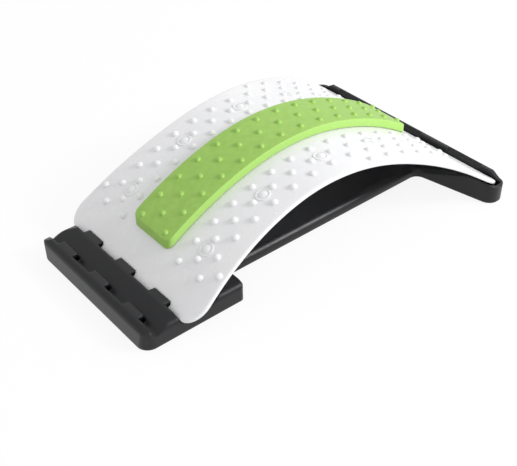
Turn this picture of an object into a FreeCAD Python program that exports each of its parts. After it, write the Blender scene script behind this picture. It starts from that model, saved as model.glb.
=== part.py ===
import FreeCAD, Part
import math
import os

# Arched back stretcher, in millimetres.
# +X runs along the length from the stepped end block to the wide end bar,
# +Y runs across the width, +Z is up, and the origin is on the table under the middle of the base.

# Base plan, with the along sizes counted from the stepped end's front face
base_length = 386.0
block_length = 101.5
block_width = 164.0
block_corner_r = 11.0
block_end_r = 4.0
block_end_draft = 1.2
block_side_slope = 11.0
block_side_drop = 4.5
block_side_r = 5.0
block_top_r = 12.0
slab_width = 98.0
slab_bar_r = 10.0
bar_width = 260.0
bar_middle_depth = 38.0
bar_tip_depth = 22.0
bar_corner_r = 11.0
tray_corner_r = 3.0

# Base heights, counted from the underside of the moulding
foot_proud = 0.8
front_wall_height = 20.2
ridge_height = 20.0
groove_floor_height = 11.7
plateau_height = 20.5
slab_height = 10.0
slab_edge_r = 6.0
bar_floor_height = 9.0
end_wall_height = 21.5

# Base walls and ribs
shell_wall = 2.8
rib_wall = 2.2
block_cells = 4
slab_cells = 4
bar_cells = 6
overrun = 2.0

# The three level grooves
groove_count = 3
groove_pitch = 25.8
front_wall = 8.4
front_draft = 1.4
front_edge_r = 6.0
steep_run = 1.6
crest_width = 2.6
crest_r = 0.8
groove_floor_width = 3.4
groove_floor_r = 0.6
plateau_start = 84.0
plateau_r = 3.0

# Retaining hooks over each groove
hook_pitch = 51.0
hook_width = 22.0
hook_reach = 6.0
hook_root = 4.2
hook_tip = 2.4
hook_drop = 0.6
hook_slot_width = 6.2

# The end bar's wall: it falls off at the tips, and three stretches of it lead the plate's end in
end_wall = 4.0
tip_fall = 5.0
tip_fall_lead = 2.0
tip_fall_run = 11.0
tip_run = 18.0
tip_slope = 8.0
lead_in_pitch = 78.0
lead_in_width = 42.0
lead_in_depth = 2.6
lead_in_height = 4.6
seat_ledge_width = 9.0

# The rim on the bar's slanted side: it rises out of the slab's rounded edge
rim_wall = 3.0
rim_start = 0.5
rim_run = 10.5

# Arched plate
plate_thickness = 4.0
crown_r = 200.0
straight_run = 31.8
crown_half_angle = math.radians(15.0)
end_angle = math.radians(35.0)
seat_gap = 0.3
waist_half_width = 86.0
waist_share = 0.34
flare_share = 0.932
near_corner_r = 17.0
flare_corner_r = 45.0
far_corner_r = 14.0
plate_cut_height = 140.0
notch_gap = 0.7

# Nubs: one staggered lattice, with a smooth run left at both ends of the arch
plate_nub_rows = 7
smooth_run = 34.2
nub_first_column = 41.5
nub_column_pitch = 14.3
nub_column_count = 4
plate_nub_r = 3.5
plate_nub_sink = 0.7
nub_edge_margin = 7.0
strip_nub_column = 17.0
strip_nub_rows = 6
strip_nub_r = 2.9
strip_nub_sink = 0.4

# Foam strip along the spine and the adhesive sheet under it
strip_width = 53.0
strip_end_inset = 29.2
strip_corner_r = 7.0
strip_thickness = 8.0
tape_thickness = 0.5
tape_inset = 1.5
bond_gap = 0.05

# Magnet buttons: rows are counted in nub pitches from the top of the arch
magnet_rows = (-6, -3, 0, 3, 5)
boss_r = 6.8
boss_height = 1.3
boss_groove_r = 5.2
boss_dome_r = 3.9
boss_dome_height = 2.3
boss_groove_depth = 0.7
magnet_r = 5.0
magnet_height = 1.9
magnet_gap = 0.05
cap_r = 6.2
cap_thickness = 1.1

# Foot pads in shallow recesses of the underside
pad_length = 34.0
pad_width = 14.0
pad_corner_r = 5.0
pad_recess = 1.0
pad_gap = 0.2
near_pad_inset = 16.0
near_pad_side_inset = 28.0
far_pad_inset = 14.0
far_pad_side_inset = 38.0

# Places worked out from the sizes above
near_x = -base_length / 2
far_x = base_length / 2
block_end_x = near_x + block_length
bar_middle_x = far_x - bar_middle_depth
bar_tip_x = far_x - bar_tip_depth
under_z = foot_proud
groove_z = under_z + groove_floor_height
ridge_z = under_z + ridge_height
front_z = under_z + front_wall_height
plateau_z = under_z + plateau_height
slab_z = under_z + slab_height
bar_z = under_z + bar_floor_height
end_wall_z = under_z + end_wall_height
end_wall_x = far_x - end_wall
edge_r = plate_thickness / 2
seat_z = groove_z + seat_gap + edge_r


def wall_x(index):
    """X of the top of the steep wall that starts groove number index."""
    return near_x + front_wall + index * groove_pitch


def steep_x(index, height):
    """X of that steep wall's face at a height between the ridge top and the groove floor."""
    share = (ridge_z - height) / (ridge_z - groove_z)
    return wall_x(index) + steep_run * share


def point(x, y, z):
    return FreeCAD.Vector(x, y, z)


def box(x0, x1, y0, y1, z0, z1):
    """Upright box between two corners."""
    return Part.makeBox(x1 - x0, y1 - y0, z1 - z0, point(x0, y0, z0))


def rounded_wire(corners, z):
    """Closed outline in X and Y, each corner given as x, y and, where it is rounded, its radius."""
    edges = []
    starts = []
    ends = []
    for index, given in enumerate(corners):
        x, y, radius = (*given, 0)[:3]
        corner = point(x, y, z)
        before = point(*corners[index - 1][:2], z) - corner
        after = point(*corners[(index + 1) % len(corners)][:2], z) - corner
        half = before.getAngle(after) / 2
        cut = radius / math.tan(half)
        before.normalize()
        after.normalize()
        middle = before + after
        start = corner + before * cut
        end = corner + after * cut
        starts.append(start)
        ends.append(end)
        if radius > 0:
            middle.normalize()
            centre = corner + middle * (radius / math.sin(half))
            edges.append(Part.Arc(start, centre - middle * radius, end).toShape())
    for index in range(len(corners)):
        edges.append(Part.LineSegment(ends[index - 1], starts[index]).toShape())
    return Part.Wire(Part.__sortEdges__(edges))


def plan_prism(corners, z0, z1):
    """Upright solid of a rounded outline in X and Y."""
    return Part.Face(rounded_wire(corners, z0)).extrude(point(0, 0, z1 - z0))


def side_prism(corners, y0, y1):
    """Solid of a rounded outline in X and Z, from y0 to y1."""
    face = Part.Face(rounded_wire(corners, 0))
    face.rotate(point(0, 0, 0), point(1, 0, 0), 90)
    face.translate(point(0, y0, 0))
    return face.extrude(point(0, y1 - y0, 0))


def cross_prism(corners, x0, x1):
    """Solid of a rounded outline in Y and Z, from x0 to x1."""
    face = Part.Face(rounded_wire(corners, 0))
    face.rotate(point(0, 0, 0), point(1, 1, 1), 120)
    face.translate(point(x0, 0, 0))
    return face.extrude(point(x1 - x0, 0, 0))


def rectangle(x0, x1, half_width, radius):
    """Corners of a rectangle that lies evenly about the length axis."""
    return [(x0, -half_width, radius), (x1, -half_width, radius),
            (x1, half_width, radius), (x0, half_width, radius)]


def cells(half_width, count):
    """Y ranges between the cross ribs of a hollow."""
    pitch = (2 * half_width + rib_wall) / count
    first = -half_width
    return [(first + n * pitch, first + (n + 1) * pitch - rib_wall) for n in range(count)]


# The curve of the arch: a crown arc, a flatter flank arc and a straight run on each side
tip_near_x = steep_x(1, seat_z) + seat_gap
tip_far_x = end_wall_x - seat_gap
arch_x = (tip_near_x + tip_far_x) / 2
edge_half_span = (tip_far_x - tip_near_x) / 2 - edge_r
top_half_span = edge_half_span + edge_r * math.sin(end_angle)
crown_span = crown_r * math.sin(crown_half_angle)
flank_span = top_half_span - crown_span - straight_run * math.cos(end_angle)
flank_r = flank_span / (math.sin(end_angle) - math.sin(crown_half_angle))
crown_fall = crown_r * (1 - math.cos(crown_half_angle))
flank_fall = flank_r * (math.cos(crown_half_angle) - math.cos(end_angle))
straight_fall = straight_run * math.sin(end_angle)
edge_top_z = seat_z + edge_r * math.cos(end_angle)
apex_z = edge_top_z + crown_fall + flank_fall + straight_fall
crown_length = crown_r * crown_half_angle
flank_length = flank_r * (end_angle - crown_half_angle)
half_length = crown_length + flank_length + straight_run
nub_pitch = (half_length - smooth_run) / plate_nub_rows
magnet_column = nub_first_column + nub_column_pitch

# The sides of the plate: one arc on each side from the narrow end through the waist to the flare
plate_far_half = bar_width / 2 - end_wall - notch_gap
waist_x = tip_near_x + (tip_far_x - tip_near_x) * waist_share
flare_x = tip_near_x + (tip_far_x - tip_near_x) * flare_share
flare_rise = plate_far_half - waist_half_width
side_arc_r = ((flare_x - waist_x) ** 2 + flare_rise ** 2) / (2 * flare_rise)


def station(along, offset):
    """Place and slope at a distance along the arch's top face from its apex, raised by offset."""
    side = 1 if along >= 0 else -1
    distance = abs(along)
    if distance <= crown_length:
        angle = distance / crown_r
        x = crown_r * math.sin(angle)
        fall = crown_r * (1 - math.cos(angle))
    elif distance <= crown_length + flank_length:
        angle = crown_half_angle + (distance - crown_length) / flank_r
        x = crown_span + flank_r * (math.sin(angle) - math.sin(crown_half_angle))
        fall = crown_fall + flank_r * (math.cos(crown_half_angle) - math.cos(angle))
    else:
        angle = end_angle
        run = distance - crown_length - flank_length
        x = crown_span + flank_span + run * math.cos(angle)
        fall = crown_fall + flank_fall + run * math.sin(angle)
    x = side * (x + offset * math.sin(angle))
    z = apex_z - fall + offset * math.cos(angle)
    return point(arch_x + x, 0, z), side * angle


def arch_edges(offset):
    """The arch's curve at one offset, from its near end to its far end."""
    joints = [-half_length, -crown_length - flank_length, -crown_length,
              crown_length, crown_length + flank_length, half_length]
    edges = []
    for start, end in zip(joints, joints[1:]):
        first = station(start, offset)[0]
        middle = station((start + end) / 2, offset)[0]
        last = station(end, offset)[0]
        if start == joints[0] or end == joints[-1]:
            edges.append(Part.LineSegment(first, last).toShape())
        else:
            edges.append(Part.Arc(first, middle, last).toShape())
    return edges


def arch_band(low, high, half_width, round_ends):
    """Curved slab between two offsets of the arch, across the whole width."""
    edges = arch_edges(low) + arch_edges(high)
    for end in (-half_length, half_length):
        lower = station(end, low)[0]
        upper = station(end, high)[0]
        if round_ends:
            side = 1 if end > 0 else -1
            outward = point(side * math.cos(end_angle), 0, -math.sin(end_angle))
            tip = (lower + upper) * 0.5 + outward * ((high - low) / 2)
            edges.append(Part.Arc(lower, tip, upper).toShape())
        else:
            edges.append(Part.LineSegment(lower, upper).toShape())
    face = Part.Face(Part.Wire(Part.__sortEdges__(edges)))
    band = face.extrude(point(0, 2 * half_width, 0))
    band.translate(point(0, -half_width, 0))
    return band


def seat_on_arch(shape, along, across, offset):
    """Moves a shape built about the Z axis onto the arch, square to its surface."""
    place, slope = station(along, offset)
    seated = shape.copy()
    turn = FreeCAD.Rotation(point(0, 1, 0), math.degrees(slope))
    seated.Placement = FreeCAD.Placement(point(place.x, across, place.z), turn)
    return seated


def dome(radius, sink):
    """Half ball whose centre lies sink below the surface that it stands on."""
    return Part.makeSphere(radius, point(0, 0, -sink), point(0, 0, 1), 0, 90, 360)


def disc(radius, z0, z1):
    return Part.makeCylinder(radius, z1 - z0, point(0, 0, z0))


def side_half_width(x):
    """Half width of the arched plate at a place along the length."""
    return waist_half_width + side_arc_r - math.sqrt(side_arc_r ** 2 - (x - waist_x) ** 2)


def hook(x, top, across):
    """Hook over a groove, its root on the steep wall whose face is at x."""
    inner = x - overrun
    tip = x + hook_reach
    corners = [(inner, top), (x, top), (tip, top - hook_drop), (tip, top - hook_drop - hook_tip),
               (x, top - hook_root), (inner, top - hook_root)]
    return side_prism(corners, across - hook_width / 2, across + hook_width / 2)


def block_outline():
    """Side view of the stepped end block: front wall, three saw-tooth grooves and plateau."""
    corners = [(near_x, under_z), (near_x + front_draft, front_z, front_edge_r),
               (wall_x(0), front_z, crest_r)]
    for index in range(groove_count):
        if index > 0:
            corners.append((wall_x(index) - crest_width, ridge_z, crest_r))
            corners.append((wall_x(index), ridge_z, crest_r))
        corners.append((wall_x(index) + steep_run, groove_z, groove_floor_r))
        corners.append((wall_x(index) + steep_run + groove_floor_width, groove_z, groove_floor_r))
    corners.append((near_x + plateau_start, plateau_z, plateau_r))
    corners.append((block_end_x - block_end_draft, plateau_z, plateau_r))
    corners.append((block_end_x, under_z))
    return corners


def make_block():
    """Stepped end block with rounded sides, a ribbed hollow and the hooks over its grooves."""
    half = block_width / 2
    block = side_prism(block_outline(), -half, half)
    plan = [(near_x, -half, block_corner_r), (block_end_x, -half, block_end_r),
            (block_end_x, half, block_end_r), (near_x, half, block_corner_r)]
    side = [(half, under_z), (half, plateau_z - block_side_drop, block_side_r),
            (half - block_side_slope, plateau_z, block_top_r)]
    section = side + [(-y, *rest) for y, *rest in reversed(side)]
    block = block.common(plan_prism(plan, under_z, plateau_z))
    block = block.common(cross_prism(section, near_x, block_end_x))
    hollow_z = groove_z - shell_wall
    cutters = []
    for y0, y1 in cells(half - shell_wall, block_cells):
        first_x = near_x + front_draft + shell_wall
        cutters.append(box(first_x, block_end_x - shell_wall, y0, y1, -overrun, hollow_z))
        for index in range(1, groove_count + 1):
            last = index == groove_count
            core_x = (block_end_x - block_end_draft if last else wall_x(index)) - shell_wall
            core_z = (plateau_z if last else ridge_z) - 2 * shell_wall
            foot_x = wall_x(index - 1) + steep_run + groove_floor_width + 2 * shell_wall
            crest_x = near_x + plateau_start if last else core_x - crest_width
            corners = [(foot_x, hollow_z - shell_wall), (core_x, hollow_z - shell_wall),
                       (core_x, core_z), (crest_x, core_z)]
            cutters.append(side_prism(corners, y0, y1))
    for index in range(groove_count):
        start = wall_x(index) + steep_run
        for across in (-hook_pitch, 0, hook_pitch):
            y0 = across - hook_width / 2
            cutters.append(box(start, start + hook_slot_width, y0, y0 + hook_width,
                               hollow_z - overrun, groove_z + overrun))
    block = block.cut(cutters)
    hooks = []
    for index in range(groove_count):
        top = front_z if index == 0 else ridge_z
        for across in (-hook_pitch, 0, hook_pitch):
            hooks.append(hook(wall_x(index), top, across))
    return block.fuse(hooks)


def floor_outline():
    """Plan of the slab and the wide end bar in one."""
    start = block_end_x - shell_wall
    waist = slab_width / 2
    half = bar_width / 2
    side = [(start, waist), (bar_middle_x, waist, slab_bar_r), (bar_tip_x, half, bar_corner_r),
            (far_x, half, bar_corner_r)]
    return side + [(x, -y, *radius) for x, y, *radius in reversed(side)]


def bar_outline(inset, rim, radius):
    """Plan of the bar alone; inset and rim leave the wall and the slanted side's rim standing."""
    half = bar_width / 2 - inset
    waist = slab_width / 2
    tip_x = bar_tip_x - inset * (bar_tip_x - bar_middle_x) / (bar_width / 2 - waist)
    side = [(bar_middle_x + rim, waist), (tip_x + rim, half, radius), (far_x - inset, half, radius)]
    return side + [(x, -y, *rest) for x, y, *rest in reversed(side)]


def make_floor():
    """Slab and bar floor with one rounded upper edge all the way along."""
    floor = plan_prism(floor_outline(), under_z, slab_z)
    edges = [edge for edge in floor.Edges
             if edge.BoundBox.ZMin > slab_z - seat_gap and edge.BoundBox.XMax > block_end_x]
    return floor.makeFillet(slab_edge_r, edges)


def make_wall():
    """Wall around the bar, with its slanted rims, fallen tips and lead-in stretches."""
    half = bar_width / 2
    above = end_wall_z + overrun
    foot_z = slab_z - slab_edge_r
    foot_x = bar_middle_x + rim_start
    tip_z = end_wall_z - tip_fall
    wall = plan_prism(bar_outline(0, 0, bar_corner_r), under_z, end_wall_z)
    slope = [(bar_middle_x - overrun, foot_z), (foot_x, foot_z), (foot_x + rim_run, end_wall_z),
             (foot_x + rim_run, above), (bar_middle_x - overrun, above)]
    cutters = [side_prism(slope, -half, half)]
    fall_x = bar_tip_x - tip_fall_lead
    fall = [(fall_x, end_wall_z), (fall_x + tip_fall_run, tip_z), (far_x + overrun, tip_z),
            (far_x + overrun, above), (fall_x, above)]
    inner = half - tip_run
    ends = [(inner, end_wall_z), (inner + tip_slope, tip_z), (half, tip_z), (half, above), (inner, above)]
    for side in (-1, 1):
        tip = cross_prism([(side * y, z) for y, z in ends], fall_x, far_x + overrun)
        cutters.append(tip.common(side_prism(fall, -half, half)))
    lead_z = end_wall_z - lead_in_height
    lead_x = end_wall_x + lead_in_depth
    lead = [(end_wall_x - overrun, lead_z), (end_wall_x, lead_z), (lead_x, end_wall_z), (lead_x, above),
            (end_wall_x - overrun, above)]
    for across in (-lead_in_pitch, 0, lead_in_pitch):
        cutters.append(side_prism(lead, across - lead_in_width / 2, across + lead_in_width / 2))
    return wall.cut(cutters)


def make_seat():
    """Ledge at the foot of the wall that carries the plate's far end."""
    ledge_z = seat_z - edge_r - seat_gap
    ledge_x = end_wall_x - seat_ledge_width
    foot_x = ledge_x - (ledge_z - bar_z)
    back_x = end_wall_x + shell_wall / 2
    inner = bar_width / 2 - end_wall - bar_corner_r
    corners = [(foot_x, bar_z - shell_wall), (foot_x, bar_z), (ledge_x, ledge_z), (back_x, ledge_z),
               (back_x, bar_z - shell_wall)]
    return side_prism(corners, -inner, inner)


def floor_hollows():
    """Ribbed hollows under the slab and under the bar."""
    half = bar_width / 2
    waist = slab_width / 2
    hollows = []
    run = (bar_middle_x - block_end_x + rib_wall) / slab_cells
    for number in range(slab_cells):
        x0 = block_end_x + number * run
        for y0, y1 in cells(waist - slab_edge_r, 2):
            hollows.append(box(x0, x0 + run - rib_wall, y0, y1, -overrun, slab_z - shell_wall))
    for y0, y1 in cells(half - bar_corner_r, bar_cells):
        share = (max(abs(y0), abs(y1), waist) - waist) / (half - waist)
        start = bar_middle_x + (bar_tip_x - bar_middle_x) * share + shell_wall
        hollows.append(box(start, end_wall_x - shell_wall, y0, y1, -overrun, bar_z - shell_wall))
    return hollows


def pad_places():
    """Middle of each foot pad and the side names that its node carries."""
    near = near_x + near_pad_inset
    near_side = block_width / 2 - near_pad_side_inset
    far = far_x - far_pad_inset
    far_side = bar_width / 2 - far_pad_side_inset
    return [("near_left", near, -near_side), ("near_right", near, near_side),
            ("far_left", far, -far_side), ("far_right", far, far_side)]


def pad_prism(x, y, grow, z0, z1):
    """Upright solid of a pad's outline; the pads lie with their length across the base."""
    half_x = pad_width / 2 + grow
    half_y = pad_length / 2 + grow
    corners = [(x - half_x, y - half_y, pad_corner_r), (x + half_x, y - half_y, pad_corner_r),
               (x + half_x, y + half_y, pad_corner_r), (x - half_x, y + half_y, pad_corner_r)]
    return plan_prism(corners, z0, z1)


def make_base_frame():
    tray = plan_prism(bar_outline(end_wall, rim_wall, tray_corner_r), bar_z, end_wall_z + overrun)
    base = make_floor().fuse(make_wall()).cut(tray)
    base = base.fuse([make_seat(), make_block()]).cut(floor_hollows())
    pad_top = under_z + pad_recess
    islands = [pad_prism(x, y, shell_wall, under_z, bar_z - shell_wall / 2) for _, x, y in pad_places()]
    base = base.fuse(islands)
    base = base.cut([pad_prism(x, y, pad_gap, -overrun, pad_top) for _, x, y in pad_places()])
    return base.removeSplitter()


def magnet_pocket_depth():
    return magnet_height + cap_thickness + magnet_gap


def make_button():
    """Raised button over a magnet: a low boss, a ring groove and a small dome in its middle."""
    button = disc(boss_r, -plate_thickness / 2, boss_height)
    ring = disc(boss_groove_r, boss_height - boss_groove_depth, boss_height + overrun)
    button = button.cut(ring)
    rise = boss_dome_height - boss_height + boss_groove_depth
    ball_r = (boss_dome_r ** 2 + rise ** 2) / (2 * rise)
    ball = Part.makeSphere(ball_r, point(0, 0, boss_dome_height - ball_r))
    dome_cap = ball.common(disc(boss_dome_r, 0, boss_dome_height + overrun))
    return button.fuse(dome_cap)


def magnet_places():
    """Along and across place of each magnet, with its node's ending."""
    places = []
    for side, across in (("left", -magnet_column), ("right", magnet_column)):
        for number, row in enumerate(magnet_rows, start=1):
            places.append((f"{side}_{number}", row * nub_pitch, across))
    return places


def near_magnet(along, across):
    """Whether a nub would stand on a magnet button."""
    for _, there, side in magnet_places():
        if math.hypot(along - there, across - side) < boss_r + plate_nub_r / 2:
            return True
    return False


def plate_nubs():
    """Places of the plate's nubs: every second column is shifted by half a pitch."""
    places = []
    for number in range(nub_column_count):
        column = nub_first_column + number * nub_column_pitch
        shift = nub_pitch / 2 if number % 2 else 0
        for row in range(-plate_nub_rows, plate_nub_rows + 1):
            along = row * nub_pitch + shift
            if abs(along) > plate_nub_rows * nub_pitch:
                continue
            x = min(station(along, 0)[0].x, flare_x)
            if column > side_half_width(x) - nub_edge_margin:
                continue
            for across in (-column, column):
                if not near_magnet(along, across):
                    places.append((along, across))
    return places


def stands_at(edge, corners):
    """Whether an upright edge rises from one of these corners."""
    feet = [vertex.Point for vertex in edge.Vertexes if vertex.Point.z < seat_gap]
    near = [foot for foot in feet for corner in corners if foot.distanceToPoint(corner) < seat_gap]
    return len(feet) == 1 and bool(near)


def plate_plan():
    """Upright solid of the plate's outline: waisted, narrow at the stepped end, wide at the bar."""
    places = [(tip_near_x, side_half_width(tip_near_x)), (waist_x, waist_half_width),
              (flare_x, plate_far_half), (tip_far_x, plate_far_half)]
    right = [point(x, y, 0) for x, y in places]
    left = [point(x, -y, 0) for x, y in places]
    edges = [Part.LineSegment(left[0], right[0]).toShape(),
             Part.Arc(*right[:3]).toShape(),
             Part.LineSegment(right[2], right[3]).toShape(),
             Part.LineSegment(right[3], left[3]).toShape(),
             Part.LineSegment(left[3], left[2]).toShape(),
             Part.Arc(*left[:3]).toShape()]
    prism = Part.Face(Part.Wire(Part.__sortEdges__(edges))).extrude(point(0, 0, plate_cut_height))
    for radius, place in ((near_corner_r, 0), (flare_corner_r, 2), (far_corner_r, 3)):
        corners = (right[place], left[place])
        chosen = [edge for edge in prism.Edges if stands_at(edge, corners)]
        prism = prism.makeFillet(radius, chosen)
    return prism


def make_arch_plate():
    plate = arch_band(-plate_thickness, 0, bar_width / 2, True).common(plate_plan())
    cutters = []
    for across in (-hook_pitch, 0, hook_pitch):
        half = hook_width / 2 + notch_gap
        edge = wall_x(1) + hook_reach + notch_gap
        cutters.append(box(tip_near_x - overrun, edge, across - half, across + half, 0, ridge_z + hook_root))
    plate = plate.cut(cutters)
    button = make_button()
    knob = dome(plate_nub_r, plate_nub_sink)
    raised = [seat_on_arch(knob, along, across, 0) for along, across in plate_nubs()]
    raised += [seat_on_arch(button, along, across, 0) for _, along, across in magnet_places()]
    plate = plate.fuse(raised)
    pocket = disc(magnet_r + magnet_gap, -plate_thickness, magnet_pocket_depth() - plate_thickness)
    recess = disc(cap_r + magnet_gap, -plate_thickness - overrun, cap_thickness - plate_thickness)
    pocket = pocket.fuse(recess)
    pockets = [seat_on_arch(pocket, along, across, 0) for _, along, across in magnet_places()]
    return plate.cut(pockets).removeSplitter()


def strip_plan(inset):
    """Upright solid of the spine strip's outline."""
    half = (tip_far_x - tip_near_x) / 2 - strip_end_inset - inset
    plan = rectangle(arch_x - half, arch_x + half, strip_width / 2 - inset, strip_corner_r)
    return plan_prism(plan, 0, plate_cut_height)


def make_tape():
    band = arch_band(bond_gap, tape_thickness - bond_gap, strip_width / 2, False)
    return band.common(strip_plan(tape_inset))


def make_strip():
    strip = arch_band(tape_thickness, tape_thickness + strip_thickness, strip_width / 2, False)
    strip = strip.common(strip_plan(0))
    knob = dome(strip_nub_r, strip_nub_sink)
    top = tape_thickness + strip_thickness
    knobs = []
    for row in range(-strip_nub_rows, strip_nub_rows + 1):
        knobs.append(seat_on_arch(knob, row * nub_pitch, 0, top))
    for row in range(-strip_nub_rows - 1, strip_nub_rows + 1):
        along = (row + 0.5) * nub_pitch
        for across in (-strip_nub_column, strip_nub_column):
            knobs.append(seat_on_arch(knob, along, across, top))
    return strip.fuse(knobs).removeSplitter()


def make_magnet():
    floor = cap_thickness - plate_thickness
    return disc(magnet_r, floor, floor + magnet_height)


def make_cap():
    return disc(cap_r, -plate_thickness, cap_thickness - plate_thickness)


os.makedirs("parts", exist_ok=True)
parts = {"base_frame": make_base_frame(), "arch_plate": make_arch_plate(),
         "spine_tape": make_tape(), "spine_strip": make_strip()}
for side, x, y in pad_places():
    parts[f"foot_pad_{side}"] = pad_prism(x, y, 0, 0, under_z + pad_recess)
for ending, along, across in magnet_places():
    parts[f"magnet_{ending}"] = seat_on_arch(make_magnet(), along, across, 0)
    parts[f"magnet_cap_{ending}"] = seat_on_arch(make_cap(), along, across, 0)
for name, shape in parts.items():
    shape.exportStep(f"parts/{name}.step")
    print(name, shape.isValid(), len(shape.Solids), round(shape.Volume))
print("hinge", arch_x + edge_half_span, seat_z, "apex", apex_z, "straight", straight_run)
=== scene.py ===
import logging
import math
from dataclasses import dataclass, field
from enum import Enum
from typing import Any

import bmesh
import bpy
import numpy as np
from mathutils import Matrix, Vector
from mathutils.geometry import delaunay_2d_cdt


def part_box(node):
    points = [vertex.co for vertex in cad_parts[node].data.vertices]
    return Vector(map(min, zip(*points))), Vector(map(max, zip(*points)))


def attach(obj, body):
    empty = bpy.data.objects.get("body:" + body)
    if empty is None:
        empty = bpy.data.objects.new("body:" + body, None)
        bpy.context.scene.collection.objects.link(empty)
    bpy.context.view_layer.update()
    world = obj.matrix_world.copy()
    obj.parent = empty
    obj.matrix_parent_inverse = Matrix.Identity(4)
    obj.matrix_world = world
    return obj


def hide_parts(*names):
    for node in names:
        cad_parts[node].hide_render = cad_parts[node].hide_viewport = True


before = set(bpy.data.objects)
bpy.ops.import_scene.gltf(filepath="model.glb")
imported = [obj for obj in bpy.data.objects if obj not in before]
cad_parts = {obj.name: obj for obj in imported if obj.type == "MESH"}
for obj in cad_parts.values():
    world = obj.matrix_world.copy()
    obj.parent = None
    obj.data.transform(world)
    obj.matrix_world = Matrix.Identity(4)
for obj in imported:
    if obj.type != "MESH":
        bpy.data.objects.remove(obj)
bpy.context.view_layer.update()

LOG = logging.getLogger("back_stretcher")
MM = 0.001
ARCH_BODY = "arch"
CURVE_SAMPLES = 1201
CORNER_STEPS = 5
EDGE_STEPS = 3
# Points of a flat face that lie nearer than this are taken as one
WELD_MM = 1e-5
SHARP_ANGLE = math.radians(42.0)
WHITE = (1.0, 1.0, 1.0)
# Sockets of a Mix node that mixes colours: its factor, its two colours and its result
MIX_SHARE, MIX_FIRST, MIX_SECOND, MIX_RESULT = 0, 6, 7, 2

Pair = tuple[float, float]
Triple = tuple[float, float, float]
Section = list[Pair]


class Side(Enum):
    """Left and right of the spine, as a sign of the across direction."""

    LEFT = -1
    RIGHT = 1


class Shaded(Enum):
    """What a node tree can shade, with the type of its output node."""

    MATERIAL = "ShaderNodeOutputMaterial"
    WORLD = "ShaderNodeOutputWorld"


# Shader expressions


class Signal:
    """One node output that adds Math nodes when it stands in an expression."""

    def __init__(self, graph: "Graph", output: bpy.types.NodeSocket) -> None:
        """Keeps the graph and the output.

        Args:
            graph: The graph that new Math nodes go into.
            output: The node output that carries the value.
        """
        self.graph = graph
        self.output = output

    def _math(self, operation: str, *terms: Any) -> "Signal":
        """Adds one Math node.

        Args:
            operation: The Math node's operation.
            terms: Signals or numbers, in the order of the node's inputs.

        Returns:
            The node's result.
        """
        return self.graph.node("ShaderNodeMath", {"operation": operation}, dict(enumerate(terms)))

    def __add__(self, other: Any) -> "Signal":
        """Sum of two values."""
        return self._math("ADD", self, other)

    def __radd__(self, other: Any) -> "Signal":
        """Sum with a number on the left."""
        return self._math("ADD", other, self)

    def __sub__(self, other: Any) -> "Signal":
        """Difference of two values."""
        return self._math("SUBTRACT", self, other)

    def __rsub__(self, other: Any) -> "Signal":
        """Difference with a number on the left."""
        return self._math("SUBTRACT", other, self)

    def __mul__(self, other: Any) -> "Signal":
        """Product of two values."""
        return self._math("MULTIPLY", self, other)

    def __rmul__(self, other: Any) -> "Signal":
        """Product with a number on the left."""
        return self._math("MULTIPLY", other, self)

    def clamped(self) -> "Signal":
        """The value held between zero and one."""
        return self._math("MINIMUM", self._math("MAXIMUM", self, 0.0), 1.0)

    def ramp(self, low: float, high: float) -> "Signal":
        """Smooth rise of the value between two levels.

        Args:
            low: The level that gives zero.
            high: The level that gives one.

        Returns:
            The eased value.
        """
        inputs = {"Value": self, "From Min": low, "From Max": high}
        return self.graph.node("ShaderNodeMapRange", {"interpolation_type": "SMOOTHSTEP"}, inputs)

    def about(self, middle: float, swing: float) -> "Signal":
        """Turns a value around one half into one around another middle.

        Args:
            middle: What one half becomes.
            swing: How much the new value moves from zero to one of the old.

        Returns:
            The new value.
        """
        return middle + (self - 0.5) * swing


@dataclass(frozen=True)
class Pattern:
    """Even noise or cells of a real size.

    Attributes:
        period: Size of the largest cells, in metres.
        detail: Number of finer layers in the noise, or none for cells.
        roughness: Strength of the finer layers.
        levels: The levels that become zero and one, or none for the plain value.
    """

    period: float
    detail: float | None = None
    roughness: float = 0.5
    levels: Pair | None = None


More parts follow.
